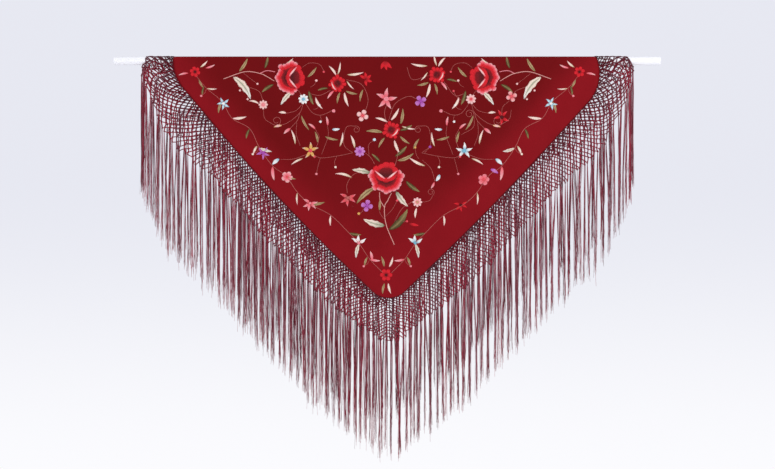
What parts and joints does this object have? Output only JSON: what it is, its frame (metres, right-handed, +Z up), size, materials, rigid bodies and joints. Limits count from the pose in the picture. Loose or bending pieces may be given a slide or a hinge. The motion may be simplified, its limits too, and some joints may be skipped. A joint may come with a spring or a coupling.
{
  "type": "flamenco shawl on a rod",
  "caption": "Square shawl with a knotted net border and a long fringe on every edge, folded corner to corner and hung over a plain round rod.",
  "frame": {"origin": "on the rod's axis, halfway along the rod, where the part is held up", "axes": "+X along the rod, to the viewer's right; +Y from the shawl's front to its back; +Z up"},
  "size_m": [2, 0.0457, 1.4617],
  "materials": {
    "rod": "smooth white satin paint on wood",
    "cloth": "fine silk-like crepe, soft low sheen",
    "net": "twisted cord, black and wine mixed, knotted",
    "fringe": "loose yarn, black and wine mixed, slight sheen"
  },
  "bodies": {
    "root": {"rod": "rod", "cloth_front": "cloth", "cloth_fold": "cloth", "cloth_back": "cloth", "net_fold_left": "net", "net_fold_right": "net", "net_front_left": "net", "net_front_right": "net", "net_back_left": "net", "net_back_right": "net", "fringe_front_left": "fringe", "fringe_front_right": "fringe", "fringe_back_left": "fringe", "fringe_back_right": "fringe"}
  },
  "joints": []
}
